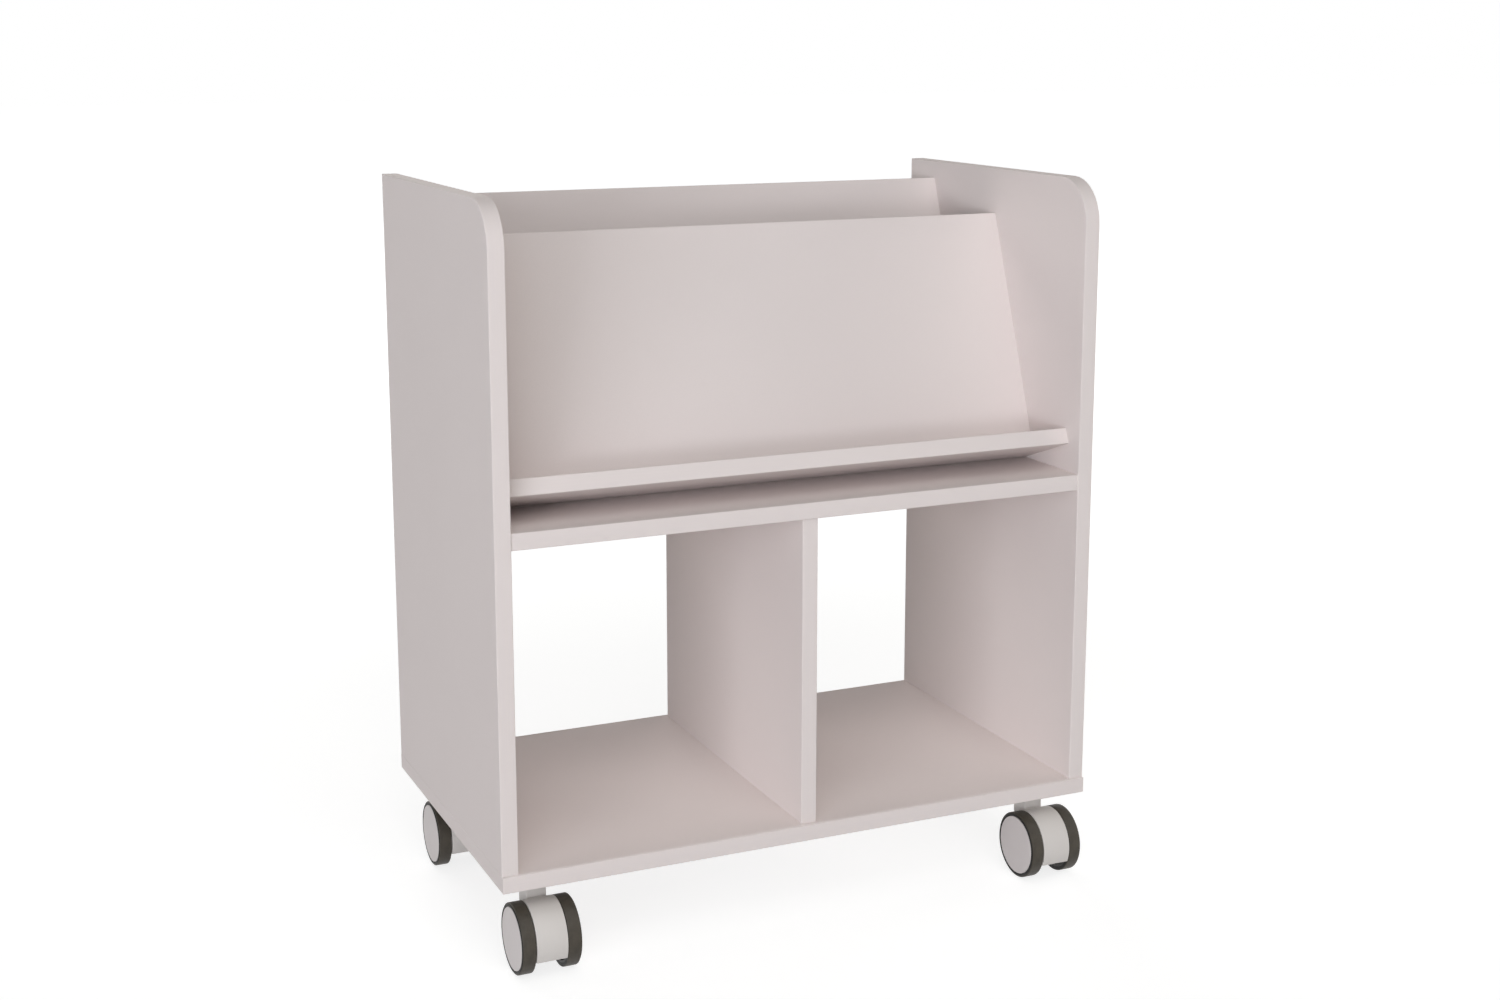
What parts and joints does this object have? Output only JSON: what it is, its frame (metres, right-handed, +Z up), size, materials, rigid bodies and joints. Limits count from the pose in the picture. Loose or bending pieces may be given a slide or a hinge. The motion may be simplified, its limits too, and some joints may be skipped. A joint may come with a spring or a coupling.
{
  "type": "mobile shelving unit",
  "caption": "Low mobile shelving unit on swivel casters: open bays below, and above them a sloped display board with a ledge and a parallel rear board between rounded side panels.",
  "frame": {"origin": "on the floor, in the middle of the unit's outline from above (the front wheels stand out past the base)", "axes": "+X to the right of someone facing the front, +Y to the back, +Z up"},
  "size_m": [0.7, 0.422, 0.8038],
  "materials": {
    "melamine_board": "melamine-faced particle board, light warm grey, satin",
    "edge_band": "ABS edge band in the board's colour, satin",
    "hood_plastic": "moulded nylon, light grey",
    "wheel_plastic": "moulded nylon, grey",
    "washer_plastic": "plain moulded plastic, natural white",
    "tyre_rubber": "soft dark grey tyre",
    "zinc_plated_steel": "zinc plated"
  },
  "bodies": {
    "carcass": {"left_side_panel": "melamine_board", "right_side_panel": "melamine_board", "base_panel": "melamine_board", "middle_shelf": "melamine_board", "centre_divider": "melamine_board", "front_ledge": "melamine_board", "front_display_board": "melamine_board", "rear_display_board": "melamine_board", "left_side_edge_band": "edge_band", "right_side_edge_band": "edge_band", "base_edge_band": "edge_band", "shelf_front_edge_band": "edge_band", "shelf_rear_edge_band": "edge_band", "divider_front_edge_band": "edge_band", "divider_rear_edge_band": "edge_band", "ledge_lip_edge_band": "edge_band", "front_board_edge_band": "edge_band", "rear_board_edge_band": "edge_band", "front_left_caster_plate": "zinc_plated_steel", "front_left_kingpin": "zinc_plated_steel", "front_right_caster_plate": "zinc_plated_steel", "front_right_kingpin": "zinc_plated_steel", "rear_left_caster_plate": "zinc_plated_steel", "rear_left_kingpin": "zinc_plated_steel", "rear_right_caster_plate": "zinc_plated_steel", "rear_right_kingpin": "zinc_plated_steel"},
    "front_left_caster": {"front_left_caster_hood": "hood_plastic", "front_left_axle": "zinc_plated_steel", "front_left_swivel_washer": "washer_plastic"},
    "front_left_left_wheel": {"front_left_left_tyre": "tyre_rubber", "front_left_left_wheel_centre": "wheel_plastic"},
    "front_left_right_wheel": {"front_left_right_tyre": "tyre_rubber", "front_left_right_wheel_centre": "wheel_plastic"},
    "front_right_caster": {"front_right_caster_hood": "hood_plastic", "front_right_axle": "zinc_plated_steel", "front_right_swivel_washer": "washer_plastic"},
    "front_right_left_wheel": {"front_right_left_tyre": "tyre_rubber", "front_right_left_wheel_centre": "wheel_plastic"},
    "front_right_right_wheel": {"front_right_right_tyre": "tyre_rubber", "front_right_right_wheel_centre": "wheel_plastic"},
    "rear_left_caster": {"rear_left_caster_hood": "hood_plastic", "rear_left_axle": "zinc_plated_steel", "rear_left_swivel_washer": "washer_plastic"},
    "rear_left_left_wheel": {"rear_left_left_tyre": "tyre_rubber", "rear_left_left_wheel_centre": "wheel_plastic"},
    "rear_left_right_wheel": {"rear_left_right_tyre": "tyre_rubber", "rear_left_right_wheel_centre": "wheel_plastic"},
    "rear_right_caster": {"rear_right_caster_hood": "hood_plastic", "rear_right_axle": "zinc_plated_steel", "rear_right_swivel_washer": "washer_plastic"},
    "rear_right_left_wheel": {"rear_right_left_tyre": "tyre_rubber", "rear_right_left_wheel_centre": "wheel_plastic"},
    "rear_right_right_wheel": {"rear_right_right_tyre": "tyre_rubber", "rear_right_right_wheel_centre": "wheel_plastic"}
  },
  "joints": [
    {"name": "front_left_swivel", "type": "hinge", "parent": "carcass", "child": "front_left_caster", "pos_m": [-0.304, -0.1455, 0.0375], "axis": [0, 0, 1], "continuous": true},
    {"name": "front_left_left_roll", "type": "hinge", "parent": "front_left_caster", "child": "front_left_left_wheel", "pos_m": [-0.329, -0.1735, 0.0375], "axis": [1, 0, 0], "continuous": true},
    {"name": "front_left_right_roll", "type": "hinge", "parent": "front_left_caster", "child": "front_left_right_wheel", "pos_m": [-0.279, -0.1735, 0.0375], "axis": [1, 0, 0], "continuous": true},
    {"name": "front_right_swivel", "type": "hinge", "parent": "carcass", "child": "front_right_caster", "pos_m": [0.304, -0.1455, 0.0375], "axis": [0, 0, 1], "continuous": true},
    {"name": "front_right_left_roll", "type": "hinge", "parent": "front_right_caster", "child": "front_right_left_wheel", "pos_m": [0.279, -0.1735, 0.0375], "axis": [1, 0, 0], "continuous": true},
    {"name": "front_right_right_roll", "type": "hinge", "parent": "front_right_caster", "child": "front_right_right_wheel", "pos_m": [0.329, -0.1735, 0.0375], "axis": [1, 0, 0], "continuous": true},
    {"name": "rear_left_swivel", "type": "hinge", "parent": "carcass", "child": "rear_left_caster", "pos_m": [-0.304, 0.165, 0.0375], "axis": [0, 0, 1], "continuous": true},
    {"name": "rear_left_left_roll", "type": "hinge", "parent": "rear_left_caster", "child": "rear_left_left_wheel", "pos_m": [-0.329, 0.137, 0.0375], "axis": [1, 0, 0], "continuous": true},
    {"name": "rear_left_right_roll", "type": "hinge", "parent": "rear_left_caster", "child": "rear_left_right_wheel", "pos_m": [-0.279, 0.137, 0.0375], "axis": [1, 0, 0], "continuous": true},
    {"name": "rear_right_swivel", "type": "hinge", "parent": "carcass", "child": "rear_right_caster", "pos_m": [0.304, 0.165, 0.0375], "axis": [0, 0, 1], "continuous": true},
    {"name": "rear_right_left_roll", "type": "hinge", "parent": "rear_right_caster", "child": "rear_right_left_wheel", "pos_m": [0.279, 0.137, 0.0375], "axis": [1, 0, 0], "continuous": true},
    {"name": "rear_right_right_roll", "type": "hinge", "parent": "rear_right_caster", "child": "rear_right_right_wheel", "pos_m": [0.329, 0.137, 0.0375], "axis": [1, 0, 0], "continuous": true}
  ]
}
